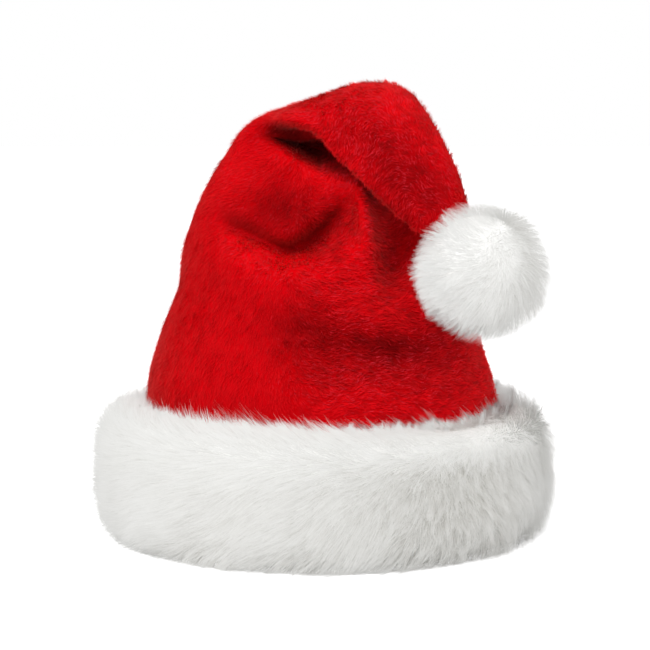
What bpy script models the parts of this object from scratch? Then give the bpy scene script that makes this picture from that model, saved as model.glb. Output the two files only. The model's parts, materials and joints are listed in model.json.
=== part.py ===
"""A plush santa hat that rests on its fur cuff: a hollow red crown whose top folds over into a
tail, a deep white fur cuff round the hem, and a white fur pompom on the tail's tip.

Metres, +Z up. The origin is the middle of the cuff's underside. The front is -Y, and the tail
falls to the front right, towards +X.
"""

import math
from collections import namedtuple

import bpy
import numpy as np
from mathutils import Matrix, Vector

# Driving sizes
HEAD_RADIUS = 0.0965
PLUSH_THICKNESS = 0.003
CROWN_RADIUS = HEAD_RADIUS + PLUSH_THICKNESS
CUFF_HEIGHT = 0.081
CUFF_RADIUS = 0.1290
CUFF_FIT_GAP = 0.0004
HEM_HEIGHT = 0.002
POMPOM_RADIUS = 0.0365
POMPOM_CENTRE = Vector((0.0840, -0.0675, 0.1552))
TIP_POCKET_GAP = 0.0006

CROWN_SIDES = 50
FRONT_CROWDING = 0.4
TIP_RINGS = 3

# The crown's sections from hem to tail tip. Each is an ellipse. turn swings its wide axis about Z,
# roll lifts the wide axis's right end, and pitch tips the section forwards over the wide axis, so
# the crown rises at pitch 0 and the tail falls at pitch 147. rings is how many rings lead to the
# next section.
Section = namedtuple("Section", "x y z half_width half_depth turn roll pitch rings")
CROWN_SECTIONS = (
    Section(0.0, 0.0, HEM_HEIGHT, CROWN_RADIUS, CROWN_RADIUS, 0, 0, 0, 1),
    Section(0.0, 0.0, 0.068, CROWN_RADIUS, CROWN_RADIUS, 0, 0, 0, 1),
    Section(-0.0018, 0.0, 0.084, 0.0990, 0.0965, 0, 0, 0, 2),
    Section(-0.0025, 0.0, 0.099, 0.0947, 0.0912, 0, 0, 0, 1),
    Section(-0.0030, 0.001, 0.115, 0.0895, 0.0840, 0, 0, 0, 2),
    Section(-0.0030, 0.002, 0.134, 0.0825, 0.0730, 0, 0, 0, 2),
    Section(-0.0038, 0.004, 0.152, 0.0780, 0.0620, 0, 0, 0, 3),
    Section(-0.0045, 0.007, 0.169, 0.0730, 0.0510, 3, 0, 0, 3),
    Section(-0.0050, 0.010, 0.186, 0.0672, 0.0420, 6, 0, 0, 2),
    Section(-0.0040, 0.014, 0.203, 0.0600, 0.0330, 10, 1, 2, 2),
    Section(-0.0020, 0.018, 0.219, 0.0525, 0.0235, 14, 3, 12, 2),
    Section(0.0008, 0.013, 0.2330, 0.0478, 0.0145, 18, 6, 45, 2),
    Section(0.0085, 0.000, 0.2392, 0.0400, 0.0135, 20, 14, 85, 2),
    Section(0.0160, -0.014, 0.2380, 0.0385, 0.0135, 20, 12, 118, 2),
    Section(0.0305, -0.025, 0.2290, 0.0295, 0.0130, 22, 20, 138, 1),
    Section(0.0475, -0.037, 0.2095, 0.0245, 0.0120, 14, 37, 147, 1),
    Section(0.0610, -0.0475, 0.1900, 0.0195, 0.0105, 10, 40, 147, 1),
    Section(0.0655, -0.0520, 0.1830, 0.0155, 0.0095, 10, 40, 147, 0),
)

# Folds pushed into the plush or raised from it. facing is the compass angle from which the fold is
# seen, 0 in front and 90 on the right. across and height place it there, length and width are its
# half sizes, tilt lifts its right end, and lift is how far it stands out, or in if negative.
Fold = namedtuple("Fold", "facing across height length width tilt lift")
CROWN_FOLDS = (
    Fold(0, -0.040, 0.168, 0.0220, 0.0080, -22, -0.0100),
    Fold(0, -0.003, 0.170, 0.0200, 0.0100, 36, -0.0130),
    Fold(0, -0.018, 0.165, 0.0130, 0.0110, 0, -0.0080),
    Fold(0, -0.026, 0.185, 0.0180, 0.0120, 0, -0.0020),
    Fold(0, -0.034, 0.149, 0.0280, 0.0080, -19, 0.0090),
    Fold(0, -0.003, 0.202, 0.0260, 0.0065, -27, 0.0070),
    Fold(0, 0.022, 0.178, 0.0240, 0.0065, 97, 0.0080),
    Fold(0, 0.040, 0.153, 0.0180, 0.0100, 15, -0.0120),
    Fold(0, 0.046, 0.172, 0.0180, 0.0120, 85, -0.0100),
    Fold(0, 0.011, 0.106, 0.0340, 0.0095, -17, -0.0130),
    Fold(0, 0.021, 0.091, 0.0280, 0.0075, 0, 0.0040),
    Fold(0, -0.027, 0.088, 0.0110, 0.0050, 80, -0.0030),
    Fold(0, -0.003, 0.217, 0.0200, 0.0085, -26, -0.0150),
    Fold(180, 0.015, 0.165, 0.0350, 0.0110, 35, -0.0050),
    Fold(180, -0.020, 0.140, 0.0300, 0.0110, 28, 0.0040),
    Fold(90, 0.010, 0.150, 0.0250, 0.0120, -60, -0.0050),
    Fold(270, -0.010, 0.130, 0.0280, 0.0110, 50, -0.0030),
)

# The cuff's section, from the foot of its inner side up to the crest. It is left bare.
Profile = namedtuple("Profile", "radius height rings")
CUFF_INSIDE = (
    Profile(CROWN_RADIUS + CUFF_FIT_GAP, 0.0, 1),
    Profile(CROWN_RADIUS + CUFF_FIT_GAP, 0.068, 1),
    Profile(0.1030, 0.0778, 0),
)
# The rest of it, from the crest down the outer side to the foot. Its locks lie on this side.
CUFF_OUTSIDE = (
    Profile(0.1085, CUFF_HEIGHT, 2),
    Profile(0.1160, 0.0795, 3),
    Profile(0.1225, 0.0735, 3),
    Profile(0.1260, 0.0630, 2),
    Profile(0.1275, 0.0480, 2),
    Profile(0.1285, 0.0320, 2),
    Profile(CUFF_RADIUS, 0.0170, 2),
    Profile(0.1235, 0.0045, 0),
)
CUFF_FOOT_RADIUS = 0.1170
CUFF_SIDES = 96
CUFF_LOCKS_ROUND = 24
CUFF_LOCK_ROWS = 5
CUFF_LOCK_LIFT = 0.0036
CUFF_LOCK_POINT = 0.35
CUFF_LOCK_LEAN = 0.9

POMPOM_SIDES = 24
POMPOM_RINGS = 14
POMPOM_LOCKS_ROUND = 6
POMPOM_LOCK_ROWS = 5
POMPOM_LOCK_LIFT = 0.0030
POMPOM_SWIRL = 1.6


def clear_scene():
    for obj in list(bpy.data.objects):
        bpy.data.objects.remove(obj, do_unlink=True)


def collection_named(name):
    made = bpy.data.collections.new(name)
    bpy.context.scene.collection.children.link(made)
    return made


def material_named(name, colour, roughness):
    made = bpy.data.materials.new(name)
    made.use_nodes = True
    shader = made.node_tree.nodes["Principled BSDF"]
    shader.inputs["Base Color"].default_value = (*colour, 1.0)
    shader.inputs["Roughness"].default_value = roughness
    shader.inputs["Metallic"].default_value = 0.0
    return made


def object_from(name, mesh, material, collection):
    if material:
        mesh.materials.append(material)
    made = bpy.data.objects.new(name, mesh)
    collection.objects.link(made)
    return made


def smooth_rows(rows, spans):
    """Rows on a smooth curve through the given ones, with spans[i] steps after row i."""
    rows = np.asarray(rows, float)
    before = np.vstack([rows[0], rows, rows[-1]])
    found = []
    for i, steps in enumerate(spans):
        p0, p1, p2, p3 = before[i : i + 4]
        for step in range(steps):
            t = step / steps
            found.append(
                0.5
                * (
                    2 * p1
                    + (p2 - p0) * t
                    + (2 * p0 - 5 * p1 + 4 * p2 - p3) * t * t
                    + (3 * p1 - p0 - 3 * p2 + p3) * t**3
                )
            )
    found.append(rows[-1])
    return np.array(found)


def section_axes(turn, roll, pitch):
    """The section's wide, deep and forward axes as the columns of a matrix."""
    swing = Matrix.Rotation(math.radians(turn), 3, "Z")
    lift = Matrix.Rotation(math.radians(-roll), 3, "Y")
    tip = Matrix.Rotation(math.radians(pitch), 3, "X")
    return np.array(swing @ lift @ tip)


def section_ring(row, sides, grow=0.0):
    x, y, z, half_width, half_depth, turn, roll, pitch = row
    angles = np.arange(sides) * 2 * math.pi / sides
    angles = angles - FRONT_CROWDING * np.cos(angles)
    round_part = np.stack([np.cos(angles), np.sin(angles)], 1)
    axes = section_axes(turn, roll, pitch)
    offsets = round_part * (half_width + grow, half_depth + grow)
    return np.array([x, y, z]) + offsets @ axes[:, :2].T


def tip_rings(row, sides, grow=0.0):
    """The rings that round off the tail's end, and the point that closes them."""
    x, y, z, half_width, half_depth, turn, roll, pitch = row
    forward = section_axes(turn, roll, pitch)[:, 2]
    length = half_depth + grow
    rings = []
    for step in range(1, TIP_RINGS + 1):
        bow = step / (TIP_RINGS + 1) * math.pi / 2
        place = np.array([x, y, z]) + forward * length * math.sin(bow)
        shrink = math.cos(bow)
        wide = (half_width + grow) * shrink
        deep = (half_depth + grow) * shrink
        rings.append(section_ring((*place, wide, deep, turn, roll, pitch), sides))
    return rings, np.array([x, y, z]) + forward * length


def crown_rows():
    return smooth_rows([s[:8] for s in CROWN_SECTIONS], [s.rings for s in CROWN_SECTIONS[:-1]])


def ring_mesh(name, rings, first=None, last=None, looped=False):
    """Quads between rings, closed by triangles to a first or last point where one is given."""
    count, sides = len(rings), len(rings[0])
    points = [tuple(p) for ring in rings for p in ring]
    faces = []
    for i in range(count if looped else count - 1):
        a, b = i * sides, (i + 1) % count * sides
        for j in range(sides):
            k = (j + 1) % sides
            faces.append((a + j, a + k, b + k, b + j))
    if last is not None:
        a, tip = (count - 1) * sides, len(points)
        points.append(tuple(last))
        faces += [(a + j, a + (j + 1) % sides, tip) for j in range(sides)]
    if first is not None:
        tip = len(points)
        points.append(tuple(first))
        faces += [(tip, (j + 1) % sides, j) for j in range(sides)]
    mesh = bpy.data.meshes.new(name)
    mesh.from_pydata(points, [], faces)
    mesh.update()
    return mesh


def fold_lift(fold, point, normal):
    """How far this fold moves a point of the crown along the fold's own facing."""
    angle = math.radians(fold.facing)
    outward = Vector((math.sin(angle), -math.cos(angle), 0))
    rightward = Vector((math.cos(angle), math.sin(angle), 0))
    facing = max(0.0, normal.dot(outward))
    across = point.dot(rightward) - fold.across
    up = point.z - fold.height
    tilt = math.radians(fold.tilt)
    along = (across * math.cos(tilt) + up * math.sin(tilt)) / fold.length
    aside = (up * math.cos(tilt) - across * math.sin(tilt)) / fold.width
    fade = math.exp(-along * along - aside * aside)
    return outward * (fold.lift * fade * min(1.0, 2 * facing))


def press_folds(mesh, body_points):
    """Moves the crown's body by its folds. The tail's points come after the body's and stay."""
    normals = [v.normal.copy() for v in mesh.vertices]
    for index, vertex in enumerate(mesh.vertices):
        if index < body_points:
            start = vertex.co.copy()
            for fold in CROWN_FOLDS:
                vertex.co += fold_lift(fold, start, normals[index])
    mesh.update()


def make_crown(material, collection):
    rows = crown_rows()
    closing, tip = tip_rings(rows[-1], CROWN_SIDES)
    rings = [section_ring(row, CROWN_SIDES) for row in rows] + closing
    mesh = ring_mesh("crown", rings, last=tip)
    neck = next(i for i, s in enumerate(CROWN_SECTIONS) if s.pitch > 30)
    body_rings = sum(s.rings for s in CROWN_SECTIONS[:neck])
    press_folds(mesh, body_rings * CROWN_SIDES)
    crown = object_from("crown", mesh, material, collection)
    wall = crown.modifiers.new("plush", "SOLIDIFY")
    wall.thickness = PLUSH_THICKNESS
    wall.offset = -1
    mesh.shade_smooth()
    return crown


def lock_shape(across, down):
    """How far a lock stands off and how far its tip is drawn on. across runs from -1 to 1 over
    the lock and down from 0 at its root to 1 past its tip."""
    ridge = 1 - across * across
    lift = down * (0.35 + 0.65 * ridge)
    return lift, down * ridge


def make_cuff(material, collection):
    inside = smooth_rows([p[:2] for p in CUFF_INSIDE], [p.rings for p in CUFF_INSIDE[:-1]])
    outside = smooth_rows([p[:2] for p in CUFF_OUTSIDE], [p.rings for p in CUFF_OUTSIDE[:-1]])
    angles = np.arange(CUFF_SIDES) * 2 * math.pi / CUFF_SIDES
    rings = []
    for radius, height in inside:
        rings.append([(radius * math.cos(a), radius * math.sin(a), height) for a in angles])
    slopes = np.gradient(outside, axis=0)
    slopes /= np.linalg.norm(slopes, axis=1, keepdims=True)
    steps_a_lock = (len(outside) - 1) / CUFF_LOCK_ROWS
    row_length = np.linalg.norm(np.diff(outside, axis=0), axis=1).sum() / CUFF_LOCK_ROWS
    for i, (radius, height) in enumerate(outside):
        lock_row = min(int(i / steps_a_lock + 1e-6), CUFF_LOCK_ROWS)
        down = (i / steps_a_lock - lock_row) * 1.5
        ring = []
        for a in angles:
            turns = a / (2 * math.pi) * CUFF_LOCKS_ROUND + lock_row * 0.5
            lift, draw = lock_shape(2 * (turns % 1) - 1, down)
            lift *= CUFF_LOCK_LIFT
            draw *= row_length * CUFF_LOCK_POINT
            sway = a - CUFF_LOCK_LEAN * down * 2 * math.pi / CUFF_LOCKS_ROUND / 3
            along, up = slopes[i]
            r = radius - up * lift + along * draw
            z = height + along * lift + up * draw
            ring.append((r * math.cos(sway), r * math.sin(sway), max(z, 0.001)))
        rings.append(ring)
    foot = CUFF_FOOT_RADIUS
    rings.append([(foot * math.cos(a), foot * math.sin(a), 0.0) for a in angles])
    mesh = ring_mesh("fur_cuff", rings, looped=True)
    mesh.flip_normals()
    cuff = object_from("fur_cuff", mesh, material, collection)
    mesh.shade_smooth()
    mesh.set_sharp_from_angle(angle=math.radians(70))
    return cuff


def make_pompom(material, collection, cutters):
    rings = []
    for i in range(1, POMPOM_RINGS + 1):
        fall = i / (POMPOM_RINGS + 1) * math.pi
        steps_a_lock = (POMPOM_RINGS + 1) / POMPOM_LOCK_ROWS
        lock_row = int(i / steps_a_lock + 1e-6)
        down = (i / steps_a_lock - lock_row) * 1.5
        ring = []
        for j in range(POMPOM_SIDES):
            share = j / POMPOM_SIDES
            turns = share * POMPOM_LOCKS_ROUND + lock_row * 0.5
            lift, draw = lock_shape(2 * (turns % 1) - 1, min(down, 1.0))
            reach = POMPOM_RADIUS + lift * POMPOM_LOCK_LIFT * math.sin(fall)
            sink = fall + 0.06 * draw
            a = 2 * math.pi * share + POMPOM_SWIRL * fall / math.pi
            ring.append(
                (
                    POMPOM_CENTRE.x + reach * math.sin(sink) * math.cos(a),
                    POMPOM_CENTRE.y + reach * math.sin(sink) * math.sin(a),
                    POMPOM_CENTRE.z + reach * math.cos(sink),
                )
            )
        rings.append(ring)
    top = POMPOM_CENTRE + Vector((0, 0, POMPOM_RADIUS))
    bottom = POMPOM_CENTRE - Vector((0, 0, POMPOM_RADIUS))
    mesh = ring_mesh("pompom", rings, first=top, last=bottom)
    mesh.flip_normals()
    pompom = object_from("pompom", mesh, material, collection)
    rows = crown_rows()[-6:]
    closing, tip = tip_rings(rows[-1], CROWN_SIDES, TIP_POCKET_GAP)
    pocket_rings = [section_ring(row, CROWN_SIDES, TIP_POCKET_GAP) for row in rows] + closing
    start = np.mean(pocket_rings[0], axis=0)
    pocket_mesh = ring_mesh("tip_pocket", pocket_rings, first=start, last=tip)
    pocket = object_from("tip_pocket", pocket_mesh, None, cutters)
    pocket.hide_render = True
    pocket.display_type = "WIRE"
    cut = pompom.modifiers.new("tip_pocket", "BOOLEAN")
    cut.operation = "DIFFERENCE"
    cut.solver = "EXACT"
    cut.object = pocket
    mesh.shade_smooth()
    return pompom


def main():
    clear_scene()
    parts = collection_named("santa_hat")
    cutters = collection_named("cutters")
    plush = material_named("red_plush", (0.60, 0.003, 0.008), 0.85)
    fur = material_named("white_fur", (0.86, 0.86, 0.84), 0.9)
    make_crown(plush, parts)
    make_cuff(fur, parts)
    make_pompom(fur, parts, cutters)


main()
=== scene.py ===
"""The looks of the plush santa hat: red plush with a short pile on the crown, and long white fur in
combed locks on the cuff and the pompom. Metres, +Z up, front at -Y, the same frame as the CAD."""

import json
import math
from collections import namedtuple

import bmesh
import bpy
import numpy as np
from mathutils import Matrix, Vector, bvhtree, kdtree

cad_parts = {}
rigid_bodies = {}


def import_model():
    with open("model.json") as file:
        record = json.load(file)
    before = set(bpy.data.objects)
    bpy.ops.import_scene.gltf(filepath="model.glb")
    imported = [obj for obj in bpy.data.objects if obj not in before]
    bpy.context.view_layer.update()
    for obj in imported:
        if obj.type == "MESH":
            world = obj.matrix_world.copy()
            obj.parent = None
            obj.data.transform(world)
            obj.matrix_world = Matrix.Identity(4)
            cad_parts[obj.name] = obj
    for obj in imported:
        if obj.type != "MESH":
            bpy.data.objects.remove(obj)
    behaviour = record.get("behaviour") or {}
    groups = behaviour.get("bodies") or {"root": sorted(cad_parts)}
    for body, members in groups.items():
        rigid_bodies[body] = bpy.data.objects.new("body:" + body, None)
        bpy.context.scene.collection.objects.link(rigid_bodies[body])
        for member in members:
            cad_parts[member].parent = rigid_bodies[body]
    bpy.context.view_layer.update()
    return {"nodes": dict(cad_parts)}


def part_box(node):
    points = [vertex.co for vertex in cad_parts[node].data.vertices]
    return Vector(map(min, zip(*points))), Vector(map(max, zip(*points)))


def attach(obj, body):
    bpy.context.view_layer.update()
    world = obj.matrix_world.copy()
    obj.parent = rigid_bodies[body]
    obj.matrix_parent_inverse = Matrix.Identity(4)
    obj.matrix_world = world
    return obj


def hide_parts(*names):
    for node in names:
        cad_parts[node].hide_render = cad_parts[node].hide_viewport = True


MM_PER_M = 1000
UP = np.array([0.0, 0.0, 1.0])
NOISE_CELLS = 32

# Camera
PHOTO_DISTANCE = 1.23
PHOTO_ELEVATION = 6.8
PHOTO_LENS = 119.5
PHOTO_TARGET = Vector((0.0011, 0.0, 0.1175))

# Crown. A layer of waves is its height, the size of its blobs and its seed.
HEM_TOP = 0.004
CUFF_COVERS_BELOW = 0.066
PLUSH_THICKNESS = 0.0030
SKIN_LEVELS = 2
PLUSH_TONE = 0.86
FACING_GAIN = 2.0
TUCK_EDGE = 6
CROWN_WAVES = ((0.0006, 0.018, 1), (0.00025, 0.007, 2))
WAVES_FADE = 0.02
# How open the sky is over each vertex darkens its tone, as painted shade deep in folds. SKY_PAINTED_SHADE is
# the share of the tone that is kept where no sky is open and where all of it is.
SKY_RAYS = 24
SKY_REACH = 0.045
SKY_START = 0.0008
SKY_PAINTED_SHADE = (0.5, 1.0)
GOLDEN_TURN = 2.39996
NAP_SMOOTHING = 6

# Pile. It is smooth left of SMOOTH_SIDE and turns into tufted fleece over FLEECE_FADE. A pair is the
# value for smooth pile and the one for rough, tufted pile, apart from PILE_RISE_RANGE and PILE_LENGTHS,
# which are limits. NAP_TURN is in degrees, and NAP_WANDER and TUFT_SWING are in radians.
CROWN_SEED = 24
PILE_PIECES = 2
PILE_BLADES = 82000
SMOOTH_SIDE = -0.030
FLEECE_FADE = 0.035
NAP_TURN = 78
NAP_WANDER = 0.3
TUFT_SWING = (0.15, 0.90)
PILE_RISE = 0.34
PILE_RISE_PATCHES = 0.22
PILE_RISE_SCATTER = 0.14
PILE_RISE_RANGE = (0.1, 0.9)
PILE_CURL = 0.12
PILE_LENGTH = 0.0032
PILE_LENGTHS = (0.7, 1.15)
PILE_WIDTH = 0.00030
PILE_WIDTHS = (1.0, 1.4)
TUFT_SPACING = 0.0016
TUFT_PULL = (0.15, 0.55)
PILE_BEND = (0.10, 0.60)
MOTTLE = 0.34
TONE_SCATTER = (0.02, 0.07)

# Glints are painted highlights: blades that are coloured brighter and pinker, as if they caught the light.
# Their shades lie above PLAIN_SHADE_TOP, where the colours of PILE_SHADES grow brighter than the plush.
GLINT_SHARE = 0.30
GLINT_LENGTH = 0.75
GLINT_WIDTH = 0.7
PLAIN_SHADE_TOP = 0.94
GLINT_SHADES = (0.975, 1.0)
PILE_ALONG = ((0.0, (0.68, 0.0012, 0.004)), (0.55, (0.83, 0.002, 0.007)), (1.0, (0.98, 0.004, 0.012)))
PILE_SHADES = (
    (0.0, (0.0, 0.0, 0.0)),
    (PLAIN_SHADE_TOP, (1.04, 1.04, 1.04)),
    (0.95, (1.0, 4.0, 3.0)),
    (0.985, (1.02, 22.0, 11.0)),
)
PLUSH_PATCHES = ((0.3, (0.66, 0.0005, 0.003)), (0.7, (0.76, 0.0008, 0.005)))
PLUSH_SHEEN = 0.32
PLUSH_SHEEN_TINT = (1.0, 0.25, 0.20)

# White fur. Its glow turns the shading upwards, because light from above spreads down through real fur.
# The colours run from root to tip, for a strand in a gap between locks and for one in smooth fur. Both
# darken towards the root as painted shade, in place of the shadows that the strands don't cast, and the gap
# colours are the painted shade between locks.
FUR_WIDTH = 0.00022
FUR_WIDTHS = (0.75, 1.25)
FUR_GLOW = 0.50
FUR_SHEEN = 0.1
SHEEN_ROUGHNESS = 0.5
GAP_FUR_PAINTED_SHADE = ((0.0, (0.33, 0.32, 0.285)), (0.5, (0.58, 0.57, 0.54)), (1.0, (0.79, 0.79, 0.77)))
PALE_FUR = ((0.0, (0.73, 0.73, 0.71)), (1.0, (0.81, 0.81, 0.795)))
SKIN_PATCHES = ((0.3, (0.90, 0.895, 0.88)), (0.7, (0.95, 0.95, 0.93)))

# Strands. A lock closes towards its tips, and a strand tapers, by these powers. SHADE_EDGE and
# SHADE_WIDTH are the free edge of the UV map and half of a ribbon's width in it.
LOCK_POWER = 1.4
TAPER_POWER = 2.2
SHADE_EDGE = 0.02
SHADE_WIDTH = 0.012

# Cuff. Its skin, which the fur grows from, has soft lumps outside the radius LUMPS_START. Along the
# skin's section few strands grow on the inner wall, and half as many as elsewhere on its edge and the
# foot. A pair is the value for smooth fur and the one for tousled fur, apart from CUFF_LENGTHS, which
# are limits. A strand's rise is the share by which it points away from the skin, at its root or its tip.
# COMB_WANDER and LOCK_WANDER are in degrees.
CUFF_SEED = 64
CUFF_SIDES = 180
CUFF_LUMPS = ((0.0020, 0.026, 25), (0.0009, 0.012, 26))
LUMPS_START = 0.105
LUMPS_FADE = 0.010
INNER_WALL_SHARE = 0.03
EDGE_SHARE = 0.5
CUFF_PIECES = 3
CUFF_STRANDS = 34500
CUFF_STEPS = 3
CUFF_LENGTHS = (0.75, 1.1)
CUFF_CURL = 0.07
COMB_WANDER = 14
LOCK_WANDER = 42
ROOT_RISE = (0.28, 0.53)
TIP_RISE = (0.02, 0.14)
RISE_WANDER = 0.08
CUFF_PULL = (0.12, 0.86)
CUFF_SPACING = (0.0024, 0.0050)
CUFF_SHADE_SCATTER = (0.10, 0.18)
CUFF_BEND = (0.02, 0.38)
LOOSE_SHARE = 0.06
LOOSE_RISE = 0.35
LOOSE_PULL = 0.1
FLOOR_CLEARANCE = 0.0004
FLOOR_SCATTER = 0.0012

# The crest. Between CREST_STARTS and CREST_ENDS along the skin's section the fur turns over. Each of
# the leans is a turn with the azimuth of its middle and its spread, in degrees. Its inner hairs grow
# inside the radius INNER_START and above INNER_FOOT.
CREST_STARTS = 0.014
CREST_ENDS = 0.036
CREST_COMB = 138
CREST_WANDER = 16
CREST_LEANS = ((50, 50, 25), (-80, 105, 30))
CREST_TOUSLE = 0.75
CREST_FILL = 0.85
PARTING_RISE = 0.08
INNER_START = 0.108
INNER_FADE = 0.006
INNER_FOOT = 0.05
INNER_UP = np.array([0.0, 0.0, 0.8])
INNER_CLOSER = 0.0008
INNER_LENGTH = -0.30
INNER_LENGTH_WANDER = 0.5
LONG_SHARE = 0.35
LONG_LENGTH = 0.40

# On the right's rear the crest's hairs lean the other way and stand up. Each pair is the azimuth of the
# middle and the spread, in degrees.
REAR_LEAN = (115, 38)
REAR_STAND = (95, 30)
REAR_RISE = (85, 22)
STAND_START = 0.055
STAND_FADE = 0.01
STAND_ROOT = 0.12
STAND_TIP = 0.06
REAR_TIP = 0.10
REAR_LONGER = 0.7

# Fringe. Its hairs grow on FRINGE_STRETCH, a stretch of the skin's section. Its lean is in radians.
FRINGE_SEED = 74
FRINGE_STRANDS = 24000
FRINGE_STRETCH = (0.0030, 0.0100)
FRINGE_STEPS = 2
FRINGE_WIDTH = 0.00026
FRINGE_WIDTHS = (0.8, 1.2)
FRINGE_LENGTH = 0.0105
FRINGE_LENGTHS = (0.5, 1.1)
FRINGE_LENGTH_WANDER = 0.35
FRINGE_LEAN = 0.85
FRINGE_LEAN_WANDER = 0.7
FRINGE_LEAN_SCATTER = 0.35
FRINGE_OUTWARD = 0.7
FRINGE_RISE = (0.40, 0.10)
FRINGE_CURL = 0.10
FRINGE_PULL = (0.3, 0.9)
FRINGE_SPACING = 0.0021

# Pompom. The sides are directions from its middle: where the fur is spiky, where it is tousled and
# where the tail presses on it. A pair of rises is for roots and tips. The whorl is where combing
# directions part.
POMPOM_SEED = 84
POMPOM_CORE_SHARE = 0.76
POMPOM_STRANDS = 18000
POMPOM_STEPS = 4
POMPOM_LENGTH = 0.0155
POMPOM_LENGTHS = (0.8, 1.15)
POMPOM_CURL = 0.08
POMPOM_GLOW = 0.6
WHORL_EDGE = 0.6
WHORL_SWING = (0.6, 0.7)
WHORL_SHORTER = 0.25
POMPOM_LUMPS = 0.05
POMPOM_WANDER = 0.5
POMPOM_RISE = (0.48, 0.16)
POMPOM_TIP_RISE_LIMIT = 0.9
SPIKY_SIDE = np.array([-0.85, 0.0, -0.15])
SPIKY_RISE = (0.18, 0.38)
SPIKY_SHORTER = 0.34
SPIKY_CLOSER = 0.0012
TOUSLED_SIDE = np.array([0.5, 0.0, 0.0])
RIGHT_RISE = (0.16, 0.14)
RIGHT_LONGER = 0.10
TOP_RISE = 0.10
TAIL_SHORTER = 0.35
POMPOM_PULL = (0.15, 0.70)
POMPOM_SPACING = 0.0028
TOUSLE_PAINTED_SHADE = 0.7
POMPOM_SHADE_SCATTER = 0.12
POMPOM_BEND = 0.20
TAIL_SIDE = np.array([-0.45, -0.6, 0.66])
TAIL_DENT_SIZE = 0.12
COMB_BEHIND = np.array([[0.1, 1.0, -0.5]])

# Studio. Each lamp has a place and a size in metres, a power in watts and the start of the names of
# the pieces that it lights, which is empty where it lights all of them.
AMBIENT = 0.70
FLOOR_HALF = 6.0
FLOOR_GLOW = 0.6
CARD_DEPTH = 0.002
LAMPS = (
    ("key", (-0.55, -1.30, 1.85), 1.8, 30.5, ""),
    ("cuff_fill", (1.05, 1.00, 1.45), 1.5, 5.5, "cuff"),
)


def unit(vectors):
    return vectors / np.maximum(np.linalg.norm(vectors, axis=-1, keepdims=True), 1e-9)


def smooth_step(share):
    return share * share * (3 - 2 * share)


def rising(values, start, length):
    """0 up to the start and 1 from one length after it. A negative length runs the other way."""
    return np.clip((values - start) / length, 0, 1)


def bell(values, middle, spread, power=2):
    """1 at the middle, falling away on both sides. A higher power has a flatter top."""
    return np.exp(-((values - middle) / spread) ** power)


def between(pair, share):
    """The value at a share of the way from the pair's first to its second."""
    return pair[0] + (pair[1] - pair[0]) * share


def soft_noise(points, size, seed):
    """Smooth noise from -1 to 1, with blobs of about this size."""
    table = np.random.default_rng(seed).uniform(-1, 1, (NOISE_CELLS,) * 3)
    scaled = np.asarray(points) / size
    cell = np.floor(scaled).astype(int)
    t = smooth_step(scaled - cell)
    total = np.zeros(len(scaled))
    for corner in np.ndindex(2, 2, 2):
        share = np.prod(np.where(corner, t, 1 - t), axis=1)
        x, y, z = ((cell + corner) % NOISE_CELLS).T
        total += share * table[x, y, z]
    return total


def layered_noise(points, layers):
    return sum(height * soft_noise(points, size, seed) for height, size, seed in layers)


def vectors_of(items, name):
    """One vector a row, such as the place or the normal of each vertex."""
    values = np.empty(len(items) * 3)
    items.foreach_get(name, values)
    return values.reshape(-1, 3)


def new_object(name, mesh):
    made = bpy.data.objects.new(name, mesh)
    bpy.context.scene.collection.objects.link(made)
    return made


def add_piece(name, mesh, finish, node=None):
    mesh.materials.append(finish)
    piece = new_object(name, mesh)
    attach(piece, "root")
    if node:
        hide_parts(node)
    return piece


def soften(piece, shading):
    """White fur scatters so much light that its strands hardly shade each other. They cast no lamp
    shadow here, and only the pieces with shading take daylight from those under them."""
    piece.visible_shadow = False
    piece.visible_diffuse = shading


# Materials

def shader_of(name, roughness, specular):
    made = bpy.data.materials.new(name)
    made.use_nodes = True
    shader = made.node_tree.nodes["Principled BSDF"]
    shader.inputs["Roughness"].default_value = roughness
    shader.inputs["Specular IOR Level"].default_value = specular
    return made, made.node_tree.nodes, made.node_tree.links, shader


def set_sheen(shader, weight, tint=(1.0, 1.0, 1.0)):
    shader.inputs["Sheen Weight"].default_value = weight
    shader.inputs["Sheen Roughness"].default_value = SHEEN_ROUGHNESS
    shader.inputs["Sheen Tint"].default_value = (*tint, 1.0)


def graded(nodes, links, value, stops):
    """The colour of a ramp at a value."""
    ramp = nodes.new("ShaderNodeValToRGB")
    elements = ramp.color_ramp.elements
    while len(elements) < len(stops):
        elements.new(0.5)
    for element, (position, colour) in zip(elements, stops):
        element.position = position
        element.color = (*colour, 1.0)
    links.new(value, ramp.inputs["Fac"])
    return ramp.outputs["Color"]


def mixed(nodes, links, first, second, share=None):
    """The colour at a share of the way between two, or their product where there is no share."""
    mix = nodes.new("ShaderNodeMix")
    mix.data_type = "RGBA"
    if share is None:
        mix.blend_type = "MULTIPLY"
        mix.inputs["Factor"].default_value = 1.0
    else:
        links.new(share, mix.inputs["Factor"])
    links.new(first, mix.inputs["A"])
    links.new(second, mix.inputs["B"])
    return mix.outputs["Result"]


def noise_value(nodes, links, scale, detail):
    """Noise that is fixed to the object."""
    place = nodes.new("ShaderNodeTexCoord")
    noise = nodes.new("ShaderNodeTexNoise")
    noise.inputs["Scale"].default_value = scale
    noise.inputs["Detail"].default_value = detail
    links.new(place.outputs["Object"], noise.inputs["Vector"])
    return noise.outputs["Fac"]


def strand_shares(nodes, links):
    """A strand's own shade, and how far it is from root to tip, both from the strand's UV map."""
    uv = nodes.new("ShaderNodeUVMap")
    uv.uv_map = "OFBake"
    split = nodes.new("ShaderNodeSeparateXYZ")
    links.new(uv.outputs["UV"], split.inputs[0])
    return split.outputs["X"], split.outputs["Y"]


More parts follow.
